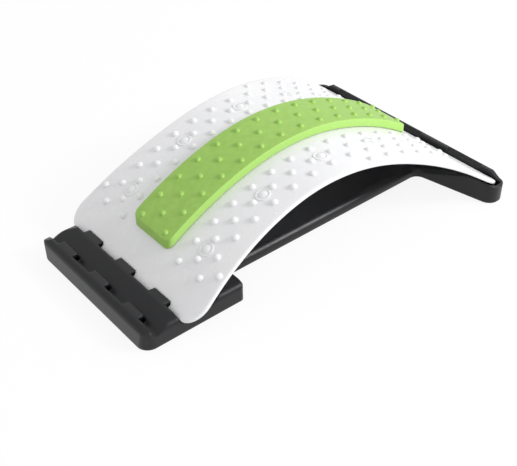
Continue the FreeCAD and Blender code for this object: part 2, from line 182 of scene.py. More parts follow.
class Graph:
    """Node tree of one material or world, with one way to add any node."""

    def __init__(self, name: str, kind: Shaded = Shaded.MATERIAL) -> None:
        """Starts an empty material or world.

        Args:
            name: Its name.
            kind: Which of the two it is.
        """
        self.kind = kind
        self.owner = (bpy.data.worlds if kind is Shaded.WORLD else bpy.data.materials).new(name)
        self.owner.use_nodes = True
        self.tree = self.owner.node_tree
        self.tree.nodes.clear()

    def node(self, kind: str, settings: dict[str, Any], inputs: dict[Any, Any], output: Any = 0) -> Signal:
        """Adds a node, sets its settings first and then its inputs.

        Args:
            kind: The node's type name.
            settings: Settings of the node by name.
            inputs: Values or signals by the input's name or number.
            output: The name or number of the output that is returned.

        Returns:
            That output, which is empty for a node that has none.
        """
        made = self.tree.nodes.new(kind)
        for name, value in settings.items():
            setattr(made, name, value)
        for name, value in inputs.items():
            self.connect(made.inputs[name], value)
        return Signal(self, made.outputs[output] if made.outputs else None)

    def connect(self, socket: bpy.types.NodeSocket, value: Any) -> None:
        """Links a signal to an input, or gives the input a constant.

        Args:
            socket: The input.
            value: The signal, or the constant; colours have three numbers.
        """
        if isinstance(value, Signal):
            self.tree.links.new(value.output, socket)
        else:
            socket.default_value = (*value, 1.0) if socket.type == "RGBA" else value

    def place(self) -> Signal:
        """Position in the object's own space, in metres."""
        return self.node("ShaderNodeTexCoord", {}, {}, "Object")

    def facing(self) -> Signal:
        """Direction that the surface faces."""
        return self.node("ShaderNodeNewGeometry", {}, {}, "Normal")

    def dot(self, first: Signal, second: Any) -> Signal:
        """Dot product of two directions or places.

        Args:
            first: The first one.
            second: The second one, as a signal or three numbers.

        Returns:
            The product.
        """
        settings = {"operation": "DOT_PRODUCT"}
        return self.node("ShaderNodeVectorMath", settings, {0: first, 1: second}, "Value")

    def pattern(self, pattern: Pattern) -> Signal:
        """Noise around one half, or the distance to the nearest cell's middle.

        Args:
            pattern: The pattern's size, layers and levels.

        Returns:
            The value, from zero to one where the pattern has levels.
        """
        inputs = {"Vector": self.place(), "Scale": 1.0 / pattern.period}
        if pattern.detail is None:
            value = self.node("ShaderNodeTexVoronoi", {}, inputs, "Distance")
        else:
            inputs |= {"Detail": pattern.detail, "Roughness": pattern.roughness}
            value = self.node("ShaderNodeTexNoise", {}, inputs, "Fac")
        return value.ramp(*pattern.levels) if pattern.levels else value

    def blend(self, share: Signal, first: Any, second: Any) -> Signal:
        """Mixes two colours.

        Args:
            share: How much of the second colour there is.
            first: The colour at zero, as a signal or three numbers.
            second: The colour at one.

        Returns:
            The mixed colour.
        """
        inputs = {MIX_SHARE: share, MIX_FIRST: first, MIX_SECOND: second}
        return self.node("ShaderNodeMix", {"data_type": "RGBA"}, inputs, MIX_RESULT)

    def bump(self, height: Signal, depth: float, normal: Any = None) -> Signal:
        """Turns a height into a surface normal.

        Args:
            height: The height, from zero to one.
            depth: The real depth of one unit of height, in metres.
            normal: The normal that it is added to.

        Returns:
            The normal.
        """
        inputs = {"Height": height, "Distance": depth, "Strength": 1.0}
        if normal is not None:
            inputs["Normal"] = normal
        return self.node("ShaderNodeBump", {}, inputs, "Normal")

    def finish(self, **inputs: Any) -> bpy.types.Material:
        """Ends the material in one Principled shader.

        Args:
            inputs: The shader's inputs, with underscores for spaces.

        Returns:
            The material.
        """
        named = {name.replace("_", " "): value for name, value in inputs.items()}
        self.surface(self.node("ShaderNodeBsdfPrincipled", {}, named))
        return self.owner

    def surface(self, shader: Signal) -> None:
        """Links a shader to the output of the material or world.

        Args:
            shader: The shader that the surface shows.
        """
        self.node(self.kind.value, {}, {"Surface": shader})


# Finishes


@dataclass(frozen=True)
class MouldedPlate:
    """Semi gloss white moulding with faint flow clouds and a fine orange peel."""

    name: str = "plate_white"
    colour: Triple = (0.77, 0.77, 0.785)
    cloud_colour: Triple = (0.79, 0.79, 0.8)
    cloud: Pattern = Pattern(0.07, 2.0, levels=(0.35, 0.65))
    scuff: Pattern = Pattern(0.0175, 5.0, 0.6)
    peel: Pattern = Pattern(0.0011, 2.0)
    peel_depth: float = 0.000012
    roughness: float = 0.27
    roughness_swing: float = 0.06
    scatter: float = 0.35
    scatter_depth: float = 0.004

    def material(self) -> bpy.types.Material:
        """Builds the material."""
        graph = Graph(self.name)
        return graph.finish(
            Base_Color=graph.blend(graph.pattern(self.cloud), self.colour, self.cloud_colour),
            Roughness=graph.pattern(self.scuff).about(self.roughness, self.roughness_swing),
            Subsurface_Weight=self.scatter,
            Subsurface_Radius=WHITE,
            Subsurface_Scale=self.scatter_depth,
            Normal=graph.bump(graph.pattern(self.peel), self.peel_depth))


@dataclass(frozen=True)
class CellFoam:
    """Closed cell foam: matt, mottled and finely pitted, with a painted highlight on its sides."""

    name: str = "strip_green"
    colour: Triple = (0.28, 0.5, 0.084)
    light_colour: Triple = (0.32, 0.54, 0.104)
    painted_light_side_colour: Triple = (0.4, 0.68, 0.155)
    painted_light_side_levels: Pair = (0.35, 0.9)
    mottle: Pattern = Pattern(0.006, 3.0)
    mottle_levels: Pair = (0.25, 0.75)
    grain: Pattern = Pattern(0.0009, 4.0, 0.6)
    grain_tone: float = 0.25
    pits: Pattern = Pattern(0.0012, levels=(0.1, 0.55))
    pit_share: float = 0.6
    pit_depth: float = 0.00007
    roughness: float = 0.48
    roughness_swing: float = 0.16

    def material(self) -> bpy.types.Material:
        """Builds the material."""
        graph = Graph(self.name)
        grain = graph.pattern(self.grain)
        mottle = graph.pattern(self.mottle) + grain * self.grain_tone - self.grain_tone / 2
        # Painted light: faces that turn across the spine (the sides and the nubs' flanks) get a lighter
        # colour in place of lamp light
        across = graph.dot(graph.facing(), (0.0, 1.0, 0.0))
        painted_side_light = (across * across).ramp(*self.painted_light_side_levels)
        skin = graph.blend(mottle.ramp(*self.mottle_levels), self.colour, self.light_colour)
        height = graph.pattern(self.pits) * self.pit_share + grain * (1.0 - self.pit_share)
        return graph.finish(
            Base_Color=graph.blend(painted_side_light, skin, self.painted_light_side_colour),
            Roughness=grain.about(self.roughness, self.roughness_swing),
            Normal=graph.bump(height, self.pit_depth))


@dataclass(frozen=True)
class SparkedBlack:
    """Black moulding with a fine spark eroded grain, and edges painted a little lighter, partly as wear and
    partly as a painted highlight.
    """

    name: str = "base_black"
    colour: Triple = (0.011, 0.0113, 0.013)
    worn_and_sheen_colour: Triple = (0.035, 0.0355, 0.038)
    grain: Pattern = Pattern(0.0007, 3.0, 0.6)
    grain_depth: float = 0.00003
    cloud: Pattern = Pattern(0.03, 4.0, 0.55)
    edge_radius: float = 0.003
    edge_samples: int = 4
    wear_and_sheen: float = 3.0
    specular: float = 0.32
    roughness: float = 0.32
    roughness_swing: float = 0.12

    def material(self) -> bpy.types.Material:
        """Builds the material."""
        graph = Graph(self.name)
        cloud = graph.pattern(self.cloud)
        samples = {"samples": self.edge_samples}
        rounded = graph.node("ShaderNodeBevel", samples, {"Radius": self.edge_radius})
        # Lighter rounded edges: partly wear, partly a painted highlight that stands in for the sheen along
        # the edges
        edge_wear_and_sheen = ((1.0 - graph.dot(rounded, graph.facing())) * self.wear_and_sheen * cloud).clamped()
        return graph.finish(
            Base_Color=graph.blend(edge_wear_and_sheen, self.colour, self.worn_and_sheen_colour),
            Roughness=cloud.about(self.roughness, self.roughness_swing),
            Specular_IOR_Level=self.specular,
            Normal=graph.bump(graph.pattern(self.grain), self.grain_depth, rounded))


@dataclass(frozen=True)
class PadRubber:
    """Matt anti slip rubber with a pebbled face."""

    name: str = "pad_rubber"
    colour: Triple = (0.02, 0.02, 0.021)
    dusty_colour: Triple = (0.06, 0.06, 0.058)
    dust: Pattern = Pattern(0.0112, 4.0, 0.65, (0.45, 0.75))
    pebble: Pattern = Pattern(0.0014, levels=(0.0, 0.6))
    pebble_depth: float = 0.00018
    roughness: float = 0.82
    roughness_swing: float = 0.12

    def material(self) -> bpy.types.Material:
        """Builds the material."""
        graph = Graph(self.name)
        dust = graph.pattern(self.dust)
        return graph.finish(
            Base_Color=graph.blend(dust, self.colour, self.dusty_colour),
            Roughness=dust.about(self.roughness, self.roughness_swing),
            Normal=graph.bump(1.0 - graph.pattern(self.pebble), self.pebble_depth))


@dataclass(frozen=True)
class NickelPlate:
    """Bright nickel plating with fine tumbling scratches."""

    name: str = "magnet_nickel"
    colour: Triple = (0.6, 0.58, 0.54)
    dull_colour: Triple = (0.45, 0.44, 0.42)
    stain: Pattern = Pattern(0.0036, 3.0, levels=(0.4, 0.7))
    stain_roughness: float = 0.16
    scratch: Pattern = Pattern(0.0006, 6.0, 0.7)
    scratch_depth: float = 0.000008
    roughness: float = 0.22

    def material(self) -> bpy.types.Material:
        """Builds the material."""
        graph = Graph(self.name)
        stain = graph.pattern(self.stain)
        return graph.finish(
            Base_Color=graph.blend(stain, self.colour, self.dull_colour),
            Roughness=self.roughness + stain * self.stain_roughness,
            Metallic=1.0,
            Normal=graph.bump(graph.pattern(self.scratch), self.scratch_depth))


@dataclass(frozen=True)
class CapWhite:
    """Small white snap in cover with a slightly rough moulded face."""

    name: str = "cap_white"
    colour: Triple = (0.7, 0.71, 0.72)
    shade_colour: Triple = (0.64, 0.65, 0.665)
    cloud: Pattern = Pattern(0.006, 2.0, levels=(0.35, 0.65))
    grain: Pattern = Pattern(0.0005, 3.0)
    grain_depth: float = 0.00002
    roughness: float = 0.45
    roughness_swing: float = 0.15

    def material(self) -> bpy.types.Material:
        """Builds the material."""
        graph = Graph(self.name)
        grain = graph.pattern(self.grain)
        return graph.finish(
            Base_Color=graph.blend(graph.pattern(self.cloud), self.colour, self.shade_colour),
            Roughness=grain.about(self.roughness, self.roughness_swing),
            Normal=graph.bump(grain, self.grain_depth))


@dataclass(frozen=True)
class AdhesiveSheet:
    """Pale adhesive sheet, slightly yellow, with faint trapped bubbles."""

    name: str = "tape_clear"
    colour: Triple = (0.62, 0.62, 0.56)
    bubble_colour: Triple = (0.7, 0.7, 0.66)
    bubble: Pattern = Pattern(0.002, levels=(0.15, 0.4))
    bubble_depth: float = 0.00004
    haze: Pattern = Pattern(0.002, 3.0)
    haze_roughness: float = 0.2
    roughness: float = 0.4

    def material(self) -> bpy.types.Material:
        """Builds the material."""
        graph = Graph(self.name)
        bubble = graph.pattern(self.bubble)
        return graph.finish(
            Base_Color=graph.blend(bubble, self.bubble_colour, self.colour),
            Roughness=self.roughness + graph.pattern(self.haze) * self.haze_roughness,
            Normal=graph.bump(bubble, self.bubble_depth))


# Geometry shared by the arched pieces


def arc_points(centre: Pair, radius: float, start: float, end: float, steps: int) -> Section:
    """Points along an arc, both ends included.

    Args:
        centre: The arc's centre.
        radius: The arc's radius.
        start: The angle of the first point, in radians.
        end: The angle of the last point, in radians.
        steps: The number of chords.

    Returns:
        The points.
    """
    angles = [start + (end - start) * n / steps for n in range(steps + 1)]
    return [(centre[0] + radius * math.cos(a), centre[1] + radius * math.sin(a)) for a in angles]


def run_points(first: Pair, last: Pair, spacing: float) -> Section:
    """Even points along a straight run, without its last point.

    Args:
        first: Where the run starts.
        last: Where the run ends.
        spacing: The largest distance between two points.

    Returns:
        The points.
    """
    length = math.dist(first, last)
    steps = max(1, math.ceil(length / spacing))
    return [(first[0] + (last[0] - first[0]) * n / steps, first[1] + (last[1] - first[1]) * n / steps)
            for n in range(steps)]


def rounded_run(corners: list[Triple], spacing: float) -> Section:
    """Open line through corners, each rounded by its own radius.

    Args:
        corners: Each corner's two coordinates and radius; the first and last have none.
        spacing: The largest distance between points on a straight run.

    Returns:
        The points, both ends included.
    """
    points: Section = []
    last = corners[0][:2]
    for before, here, after in zip(corners, corners[1:], corners[2:]):
        corner = Vector(here[:2])
        back = (Vector(before[:2]) - corner).normalized()
        ahead = (Vector(after[:2]) - corner).normalized()
        half = back.angle(ahead) / 2
        start = corner + back * here[2] / math.tan(half)
        end = corner + ahead * here[2] / math.tan(half)
        centre = corner + (back + ahead).normalized() * here[2] / math.sin(half)
        points += run_points(last, tuple(start), spacing)
        first_angle = math.atan2(*(start - centre).yx)
        turn = math.atan2(*(end - centre).yx) - first_angle
        turn = (turn + math.pi) % math.tau - math.pi
        points += arc_points(tuple(centre), here[2], first_angle, first_angle + turn, CORNER_STEPS)[:-1]
        last = tuple(end)
    return points + run_points(last, corners[-1][:2], spacing) + [corners[-1][:2]]


def dome_section(radius: float, sink: float, fillet: float, steps: int) -> Section:
    """Radii and heights of a round nub that runs out into its surface in a fillet.

    Args:
        radius: The nub's ball radius.
        sink: How far the ball's middle lies below the surface.
        fillet: The radius of the run out.
        steps: The number of chords in the ball's arc.

    Returns:
        The section from its foot up to the ring below its top.
    """
    foot = math.sqrt((radius + fillet) ** 2 - (fillet + sink) ** 2)
    meet = math.atan2(fillet + sink, foot)
    section = arc_points((foot, fillet), fillet, -math.pi / 2, -math.pi + meet, EDGE_STEPS)[:-1]
    section += arc_points((0.0, -sink), radius, meet, math.pi / 2, steps)[:-1]
    return section


@dataclass(frozen=True)
class Relief:
    """Round raised or sunk feature on one face of a sheet."""

    along: float
    across: float
    section: Section
    top: float
    spokes: int


@dataclass(frozen=True)
class ArchCurve:
    """Side view of the arch: a crown arc, two flank arcs and two straight ends."""

    low: Vector
    high: Vector
    thickness: float = 4.0 * MM
    crown_r: float = 200.0 * MM
    straight_run: float = 31.8 * MM
    crown_angle: float = math.radians(15.0)
    end_angle: float = math.radians(35.0)

    @property
    def middle_x(self) -> float:
        """X of the top of the arch."""
        return (self.low.x + self.high.x) / 2

    @property
    def edge_r(self) -> float:
        """Radius of the plate's rounded ends."""
        return self.thickness / 2

    @property
    def half_span(self) -> float:
        """Half the distance between the middles of the rounded ends."""
        return (self.high.x - self.low.x) / 2 - self.edge_r

    @property
    def crown_length(self) -> float:
        """Length of half the crown arc."""
        return self.crown_r * self.crown_angle

    @property
    def flank_r(self) -> float:
        """Radius of the flank arcs, which make up what the crown and the straight ends leave of the span."""
        span = self.half_span + self.edge_r * math.sin(self.end_angle)
        span -= self.crown_r * math.sin(self.crown_angle) + self.straight_run * math.cos(self.end_angle)
        return span / (math.sin(self.end_angle) - math.sin(self.crown_angle))

    @property
    def flank_length(self) -> float:
        """Length of one flank arc."""
        return self.flank_r * (self.end_angle - self.crown_angle)

    @property
    def half_length(self) -> float:
        """Length of the top face from the top of the arch to one end."""
        return self.crown_length + self.flank_length + self.straight_run

    def side_view(self, along: np.ndarray, offset: np.ndarray) -> tuple[np.ndarray, np.ndarray]:
        """X and Z at distances along the top face, raised by offsets.

        Args:
            along: Distances from the top of the arch, positive towards the wide end.
            offset: Heights over the top face.

        Returns:
            The X and the Z of each place.
        """
        distance = np.abs(along)
        crown = np.minimum(distance, self.crown_length)
        flank = np.clip(distance - self.crown_length, 0.0, self.flank_length)
        run = np.maximum(distance - self.crown_length - self.flank_length, 0.0)
        first = crown / self.crown_r
        angle = first + flank / self.flank_r
        x = self.crown_r * np.sin(first) + self.flank_r * (np.sin(angle) - np.sin(first))
        fall = self.crown_r * (1 - np.cos(first)) + self.flank_r * (np.cos(first) - np.cos(angle))
        x = x + run * np.cos(angle) + offset * np.sin(angle)
        fall = fall + run * np.sin(angle) - offset * np.cos(angle)
        return self.middle_x + np.sign(along) * x, self.apex_z - fall

    @property
    def apex_z(self) -> float:
        """Height of the top of the arch."""
        fall = self.crown_r * (1 - math.cos(self.crown_angle))
        fall += self.flank_r * (math.cos(self.crown_angle) - math.cos(self.end_angle))
        fall += self.straight_run * math.sin(self.end_angle)
        return self.low.z + self.edge_r * (1 + math.cos(self.end_angle)) + fall

    def unrolled(self, plan_x: np.ndarray) -> np.ndarray:
        """Distance along the arch of places given by their X in plan.

        Args:
            plan_x: X of the places.

        Returns:
            Their distances from the top of the arch.
        """
        length = self.half_length
        along = np.linspace(-length, length, CURVE_SAMPLES)
        x, _ = self.side_view(along, np.full_like(along, -self.edge_r))
        along = np.concatenate(([-length - self.edge_r], along, [length + self.edge_r]))
        x = np.concatenate(([self.low.x], x, [self.high.x]))
        return np.interp(plan_x, x, along)

    def upright(self, along: np.ndarray, offset: float) -> np.ndarray:
        """Distances along the arch of places straight above or below others.

        Args:
            along: Distances of the others, which lie on the top face.
            offset: Height of the places over the top face.

        Returns:
            The distances of the places.
        """
        grid = np.linspace(-self.half_length, self.half_length, CURVE_SAMPLES)
        x, _ = self.side_view(along, np.zeros_like(along))
        grid_x, _ = self.side_view(grid, np.full_like(grid, offset))
        return np.interp(x, grid_x, grid)

    def placed(self, along: np.ndarray, across: np.ndarray, offset: np.ndarray) -> np.ndarray:
        """Places in space of points on the arch.

        Args:
            along: Distances from the top of the arch.
            across: Distances from the spine.
            offset: Heights over the top face.

        Returns:
            One row of three coordinates for each point.
        """
        x, z = self.side_view(along, offset)
        return np.stack((x, across, z), axis=1)


@dataclass
class CurvedSheet:
    """Closed sheet that follows the arch, with a rounded rim and reliefs on both faces."""

    curve: ArchCurve
    outline: np.ndarray
    top: float
    bottom: float
    top_rim: float
    bottom_rim: float
    spacing: float = 3.0 * MM
    rim_steps: int = 4
    upright_rim: bool = False
    rim_clearance: float = 0.6
    relief_clearance: float = 0.45
    top_reliefs: list[Relief] = field(default_factory=list)
    bottom_reliefs: list[Relief] = field(default_factory=list)

    def outward(self) -> np.ndarray:
        """Outward direction at each point of the outline."""
        tangent = np.roll(self.outline, -1, axis=0) - np.roll(self.outline, 1, axis=0)
        tangent /= np.linalg.norm(tangent, axis=1, keepdims=True)
        return np.stack((tangent[:, 1], -tangent[:, 0]), axis=1)

    def rim_rings(self) -> list[Pair]:
        """Inset and offset of each ring of the rim, from the top face to the bottom face."""
        centre = (self.top_rim, self.top - self.top_rim)
        upper = arc_points(centre, self.top_rim, math.pi / 2, math.pi, self.rim_steps)
        centre = (self.bottom_rim, self.bottom + self.bottom_rim)
        lower = arc_points(centre, self.bottom_rim, math.pi, math.pi * 3 / 2, self.rim_steps)
        return upper + lower

    def inside(self, points: np.ndarray, loop: np.ndarray) -> np.ndarray:
        """Which points lie inside a closed loop.

        Args:
            points: The points that are tested.
            loop: The loop's points in order.

        Returns:
            One truth value for each point.
        """
        crossed = np.zeros(len(points), dtype=bool)
        for first, last in zip(loop, np.roll(loop, -1, axis=0)):
            spans = (first[1] > points[:, 1]) != (last[1] > points[:, 1])
            rise = last[1] - first[1] if last[1] != first[1] else 1.0
            reach = (last[0] - first[0]) * (points[:, 1] - first[1]) / rise + first[0]
            crossed ^= spans & (points[:, 0] < reach)
        return crossed

    def plain_points(self, loop: np.ndarray, reliefs: list[Relief]) -> np.ndarray:
        """Even points on the plain part of a face.

        Args:
            loop: The face's boundary.
            reliefs: The features that the points stay clear of.

        Returns:
            The points.
        """
        low = loop.min(axis=0)
        high = loop.max(axis=0)
        row = self.spacing * math.sqrt(3) / 2
        points = []
        for number in range(int((high[1] - low[1]) / row) + 2):
            start = low[0] + (self.spacing / 2 if number % 2 else 0.0)
            along = np.arange(start, high[0], self.spacing)
            points.append(np.stack((along, np.full_like(along, low[1] + number * row)), axis=1))
        grid = np.concatenate(points)
        keep = self.inside(grid, loop)
        for place in loop:
            keep &= np.hypot(*(grid - place).T) > self.spacing * self.rim_clearance
        for relief in reliefs:
            reach = relief.section[0][0] + self.spacing * self.relief_clearance
            keep &= np.hypot(grid[:, 0] - relief.along, grid[:, 1] - relief.across) > reach
        return grid[keep]

    def face(self, loop: np.ndarray, reliefs: list[Relief]) -> tuple[np.ndarray, np.ndarray, list, list]:
        """Triangles of one face, flat, with the height of each point.

        Args:
            loop: The face's boundary.
            reliefs: The round features on it.

        Returns:
            The points, their heights, each point's number on the boundary or -1, and the triangles.
        """
        points = [tuple(p) for p in loop]
        heights = [0.0] * len(loop)
        edges = [(n, (n + 1) % len(loop)) for n in range(len(loop))]
        for relief in reliefs:
            for radius, height in relief.section:
                first = len(points)
                for spoke in range(relief.spokes):
                    angle = math.tau * spoke / relief.spokes
                    points.append((relief.along + radius * math.cos(angle),
                                   relief.across + radius * math.sin(angle)))
                    heights.append(height)
                    edges.append((first + spoke, first + (spoke + 1) % relief.spokes))
            points.append((relief.along, relief.across))
            heights.append(relief.top)
        plain = self.plain_points(loop, reliefs)
        points += [tuple(p) for p in plain]
        heights += [0.0] * len(plain)
        scaled = [Vector((x / MM, y / MM)) for x, y in points]
        made, _, faces, sources, _, _ = delaunay_2d_cdt(scaled, edges, [list(range(len(loop)))], 1, WELD_MM)
        numbers = [source[0] for source in sources]
        places = np.array([(p.x * MM, p.y * MM) for p in made])
        raised = np.array([heights[n] for n in numbers])
        return places, raised, [n if n < len(loop) else -1 for n in numbers], faces

    def build(self, name: str) -> bpy.types.Object:
        """Builds the sheet as one closed mesh.

        Args:
            name: The piece's name.

        Returns:
            The object.
        """
        outward = self.outward()
        count = len(self.outline)
        rings = self.rim_rings()
        flat = []
        offsets = []
        for inset, offset in rings:
            ring = self.outline - outward * inset
            if self.upright_rim:
                ring[:, 0] = self.curve.upright(ring[:, 0], offset)
            flat.append(ring)
            offsets.append(np.full(count, offset))
        faces = []
        for ring in range(len(rings) - 1):
            for n in range(count):
                after = (n + 1) % count
                faces.append((ring * count + n, ring * count + after,
                              (ring + 1) * count + after, (ring + 1) * count + n))
        total = count * len(rings)
        for number, level, reliefs in ((0, self.top, self.top_reliefs),
                                       (len(rings) - 1, self.bottom, self.bottom_reliefs)):
            places, raised, sources, triangles = self.face(flat[number], reliefs)
            targets = []
            fresh = []
            for n, source in enumerate(sources):
                if source >= 0:
                    targets.append(number * count + source)
                else:
                    targets.append(total + len(fresh))
                    fresh.append(n)
            total += len(fresh)
            flat.append(places[fresh])
            offsets.append(level + raised[fresh])
            faces += [tuple(targets[n] for n in triangle) for triangle in triangles]
        joined = np.concatenate(flat)
        placed = self.curve.placed(joined[:, 0], joined[:, 1], np.concatenate(offsets))
        return mesh_object(name, placed.tolist(), faces)


def mesh_object(name: str, points: list, faces: list) -> bpy.types.Object:
    """Makes an object from points and faces, smooth but for its sharp edges.

    Args:
        name: The piece's name.
        points: The vertices.
        faces: The faces, as vertex numbers.

    Returns:
        The object.
    """
    mesh = bpy.data.meshes.new(name)
    mesh.from_pydata(points, [], faces)
    work = bmesh.new()
    work.from_mesh(mesh)
    bmesh.ops.recalc_face_normals(work, faces=work.faces)
    work.to_mesh(mesh)
    work.free()
    for polygon in mesh.polygons:
        polygon.use_smooth = True
    mesh.set_sharp_from_angle(angle=SHARP_ANGLE)
    made = bpy.data.objects.new(name, mesh)
    bpy.context.scene.collection.objects.link(made)
    return made


def dress(piece: bpy.types.Object, material: bpy.types.Material) -> None:
    """Gives a piece one material all over.

    Args:
        piece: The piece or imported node.
        material: Its material.
    """
    if not piece.material_slots:
        piece.data.materials.append(material)
    for slot in piece.material_slots:
        slot.material = material


# Sub-assemblies


@dataclass
class NubField:
    """Staggered lattice of nubs and magnet buttons that the plate and the strip share."""

    curve: ArchCurve
    smooth_run: float = 34.2 * MM
    rows: int = 7
    first_column: float = 41.5 * MM
    column_pitch: float = 14.3 * MM
    columns: int = 4
    magnet_rows: tuple[int, ...] = (-6, -3, 0, 3, 5)
    strip_column: float = 17.0 * MM
    strip_rows: int = 6

    @property
    def pitch(self) -> float:
        """Distance between two nubs of a column, along the arch."""
        return (self.curve.half_length - self.smooth_run) / self.rows

    @property
    def magnet_column(self) -> float:
        """Distance of the magnet buttons from the spine."""
        return self.first_column + self.column_pitch

    def magnets(self) -> list[Pair]:
        """Along and across place of each magnet button."""
        return [(row * self.pitch, side.value * self.magnet_column)
                for side in Side for row in self.magnet_rows]

    def strip_nubs(self) -> list[Pair]:
        """Along and across place of each nub of the strip."""
        places = [(row * self.pitch, 0.0) for row in range(-self.strip_rows, self.strip_rows + 1)]
        for row in range(-self.strip_rows - 1, self.strip_rows + 1):
            for side in Side:
                places.append(((row + 0.5) * self.pitch, side.value * self.strip_column))
        return places


@dataclass
class ArchedPlate:
    """White plate bowed over the base, with its nubs, magnet buttons, notches and pockets."""

    curve: ArchCurve
    nubs: NubField
    base_high: Vector
    waist_half: float = 86.0 * MM
    waist_share: float = 0.34
    flare_share: float = 0.932
    end_wall: float = 4.0 * MM
    side_gap: float = 0.7 * MM
    near_r: float = 17.0 * MM
    flare_r: float = 45.0 * MM
    far_r: float = 14.0 * MM
    rim_r: float = 1.6 * MM
    notch_pitch: float = 51.0 * MM
    notch_half: float = 11.7 * MM
    notch_depth: float = 5.2 * MM
    notch_r: float = 1.9 * MM
    nub_r: float = 3.5 * MM
    nub_sink: float = 0.7 * MM
    nub_fillet: float = 0.5 * MM
    nub_margin: float = 7.0 * MM
    boss_r: float = 6.8 * MM
    boss_height: float = 0.8 * MM
    boss_edge_r: float = 0.35 * MM
    groove_r: float = 5.2 * MM
    groove_depth: float = 0.3 * MM
    dome_r: float = 4.4 * MM
    dome_height: float = 1.8 * MM
    cap_r: float = 6.25 * MM
    cap_depth: float = 1.1 * MM
    magnet_r: float = 5.05 * MM
    magnet_depth: float = 3.05 * MM
    wall_step: float = 0.02 * MM
    dome_steps: int = 7
    bend_steps: int = 12
    side_steps: int = 90
    spacing_share: float = 1.5
    nub_spokes: int = 28
    button_spokes: int = 48
    finish: MouldedPlate = MouldedPlate()

    @property
    def far_half(self) -> float:
        """Half width of the plate at the bar."""
        return self.base_high.y - self.end_wall - self.side_gap

    @property
    def waist_x(self) -> float:
        """X of the narrowest place."""
        return self.curve.low.x + (self.curve.high.x - self.curve.low.x) * self.waist_share

    @property
    def flare_x(self) -> float:
        """X of the place where the sides reach the bar's width."""
        return self.curve.low.x + (self.curve.high.x - self.curve.low.x) * self.flare_share

    @property
    def side_arc_r(self) -> float:
        """Radius of the long arc of each side."""
        run = self.flare_x - self.waist_x
        rise = self.far_half - self.waist_half
        return (run ** 2 + rise ** 2) / (2 * rise)

    def half_width(self, x: float) -> float:
        """Half width of the plate at a place along the length.

        Args:
            x: The place.

        Returns:
            The half width, before the corners are rounded.
        """
        return self.waist_half + self.side_arc_r - math.sqrt(self.side_arc_r ** 2 - (x - self.waist_x) ** 2)

    def notched_end(self, x: float, half: float) -> list[Triple]:
        """Corners of the near end edge with its three notches, from left to right.

        Args:
            x: X of the end edge.
            half: Half length of the edge's straight part.

        Returns:
            The corners with their radii.
        """
        corners = [(x, -half, 0.0)]
        notch = self.notch_half
        for place in (-self.notch_pitch, 0.0, self.notch_pitch):
            for across, deep in ((-notch, 0), (-notch, 1), (notch, 1), (notch, 0)):
                corners.append((x + self.notch_depth * deep, place + across, self.notch_r))
        return corners + [(x, half, 0.0)]

    def plan(self) -> np.ndarray:
        """Outline of the plate, as places along the arch and across it."""
        low_x = self.curve.low.x
        high_x = self.curve.high.x
        arc_r = self.side_arc_r
        centre = Vector((self.waist_x, self.waist_half + arc_r))
        near = Vector((low_x + self.near_r, 0.0))
        near.y = centre.y - math.sqrt((arc_r + self.near_r) ** 2 - (near.x - centre.x) ** 2)
        flare = Vector((0.0, self.far_half - self.flare_r))
        flare.x = centre.x + math.sqrt((arc_r + self.flare_r) ** 2 - (centre.y - flare.y) ** 2)
        far = Vector((high_x - self.far_r, self.far_half - self.far_r))
        near_turn = math.atan2(*(centre - near).yx)
        flare_turn = math.atan2(*(centre - flare).yx)
        side = arc_points(tuple(near), self.near_r, math.pi, near_turn, self.bend_steps)[:-1]
        side += arc_points(tuple(centre), arc_r, near_turn - math.pi, flare_turn - math.pi,
                           self.side_steps)[:-1]
        side += arc_points(tuple(flare), self.flare_r, flare_turn, math.pi / 2, self.bend_steps)[:-1]
        side += arc_points(tuple(far), self.far_r, math.pi / 2, 0.0, self.bend_steps)[:-1]
        spacing = self.rim_r * self.spacing_share
        loop = rounded_run(self.notched_end(low_x, near.y), spacing)[:-1] + side
        loop += run_points((high_x, far.y), (high_x, -far.y), spacing) + [(high_x, -far.y)]
        loop += [(x, -y) for x, y in reversed(side[1:])]
        outline = np.array(loop)[::-1]
        outline[:, 0] = self.curve.unrolled(outline[:, 0])
        return outline

    def nub_places(self) -> list[Pair]:
        """Along and across place of each nub of the plate."""
        nubs = self.nubs
        places = []
        for number in range(nubs.columns):
            column = nubs.first_column + number * nubs.column_pitch
            shift = nubs.pitch / 2 if number % 2 else 0.0
            for row in range(-nubs.rows, nubs.rows + 1):
                along = row * nubs.pitch + shift
                x, _ = self.curve.side_view(np.array([along]), np.array([0.0]))
                over = abs(along) > nubs.rows * nubs.pitch + self.wall_step
                if over or column > self.half_width(min(float(x[0]), self.flare_x)) - self.nub_margin:
                    continue
                for side in Side:
                    if not self.on_button(along, side.value * column):
                        places.append((along, side.value * column))
        return places

    def on_button(self, along: float, across: float) -> bool:
        """Whether a nub would stand on a magnet button.

        Args:
            along: The nub's place along the arch.
            across: The nub's place across it.

        Returns:
            Whether a button is too near.
        """
        reach = self.boss_r + self.nub_r / 2
        return any(math.hypot(along - a, across - b) < reach for a, b in self.nubs.magnets())

    def button_section(self) -> Section:
        """Radii and heights of a button: boss, ring groove and dome."""
        edge = self.boss_edge_r
        floor = self.boss_height - self.groove_depth
        rise = self.dome_height - floor
        ball = (self.dome_r ** 2 + rise ** 2) / (2 * rise)
        start = math.asin((ball - rise) / ball)
        section = arc_points((self.boss_r + edge, edge), edge, -math.pi / 2, -math.pi, EDGE_STEPS)
        middle = self.boss_height - edge
        section += arc_points((self.boss_r - edge, middle), edge, 0.0, math.pi / 2, EDGE_STEPS)
        section += arc_points((self.groove_r + edge, middle), edge, math.pi / 2, math.pi, EDGE_STEPS)
        section += [(self.groove_r - self.wall_step, floor), (self.dome_r + self.wall_step, floor)]
        section += arc_points((0.0, self.dome_height - ball), ball, start, math.pi / 2, self.dome_steps)[:-1]
        return section

